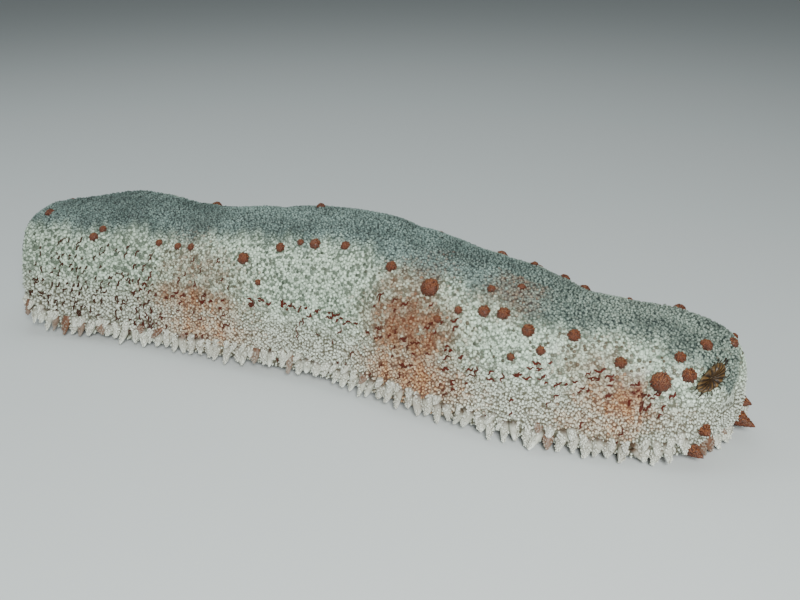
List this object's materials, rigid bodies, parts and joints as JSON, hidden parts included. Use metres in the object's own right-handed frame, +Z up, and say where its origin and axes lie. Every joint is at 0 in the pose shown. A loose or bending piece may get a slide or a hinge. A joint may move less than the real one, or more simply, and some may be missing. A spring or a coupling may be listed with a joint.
{
  "type": "sea cucumber",
  "caption": "Large boxy sea cucumber lying on its flat sole, gently bent, with granular skin, warts on the back, a fringe of pointed papillae along the floor and a folded vent.",
  "frame": {"origin": "on the floor under the middle of the bounding box", "axes": "+X along the body from the head end to the vent end, -Y towards the animal's left flank that the picture shows, +Z up"},
  "size_m": [0.6258, 0.1757, 0.1184],
  "materials": {
    "skin": "matt wet skin, cream-grey with rust-orange blotches, dark red creases and orange-brown warts, teal-grey on the back",
    "tentacles": "soft brown, slightly wet",
    "vent_folds": "dark brown radial folds, slightly wet"
  },
  "bodies": {
    "root": {"head": "skin", "forebody": "skin", "midbody": "skin", "hindbody": "skin", "tail": "skin", "mouth_tentacles": "tentacles", "vent": "vent_folds"}
  },
  "joints": []
}
